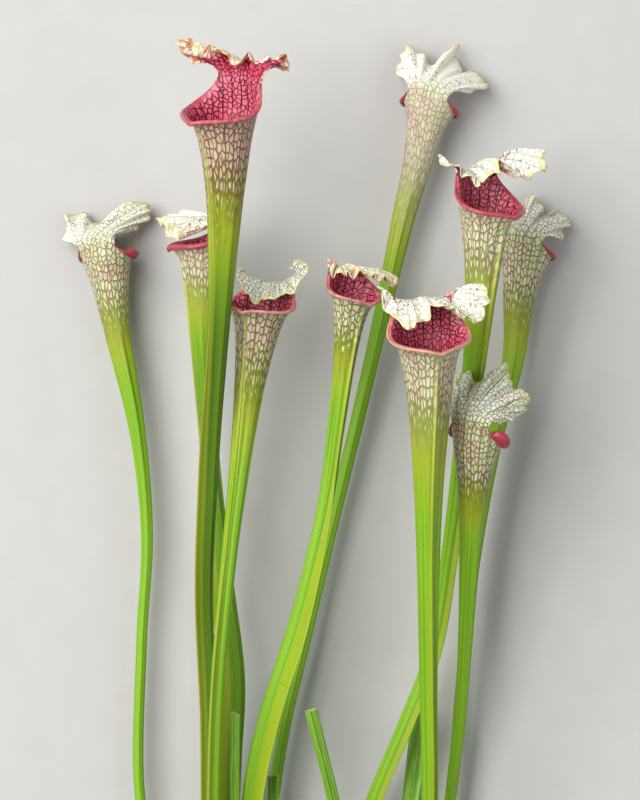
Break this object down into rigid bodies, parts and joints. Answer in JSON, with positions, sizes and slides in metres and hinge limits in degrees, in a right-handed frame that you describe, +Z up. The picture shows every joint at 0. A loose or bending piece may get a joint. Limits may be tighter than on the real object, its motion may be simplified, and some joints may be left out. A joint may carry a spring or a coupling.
{
  "type": "white-topped pitcher plant",
  "caption": "Bare-root pitcher plant with tall white-topped trumpet leaves, ruffled lids and red mouths, lying on its back on its rootstock.",
  "frame": {"origin": "middle of the bounding box, at the surface that the plant lies on", "axes": "+X across the plant to the right seen from above, +Y from the roots to the lids, +Z up from the surface, towards the picture's viewpoint"},
  "size_m": [0.2608, 0.5325, 0.1389],
  "materials": {
    "leaf": "satin leaf skin, green below and white with green and red veins at the top",
    "cut_leaf": "satin green leaf skin with a pale dry cut",
    "rootstock": "dull brown bark-like skin with pale roots"
  },
  "bodies": {
    "root": {"pitcher_far_left": "leaf", "pitcher_back_left": "leaf", "pitcher_tall_left": "leaf", "pitcher_front_left": "leaf", "pitcher_middle": "leaf", "pitcher_back_tall": "leaf", "pitcher_right": "leaf", "pitcher_far_right": "leaf", "pitcher_front_right": "leaf", "pitcher_low_right": "leaf", "cut_leaf_left": "cut_leaf", "cut_leaf_short": "cut_leaf", "cut_leaf_middle": "cut_leaf", "cut_leaf_back": "cut_leaf", "rhizome": "rootstock"}
  },
  "joints": []
}
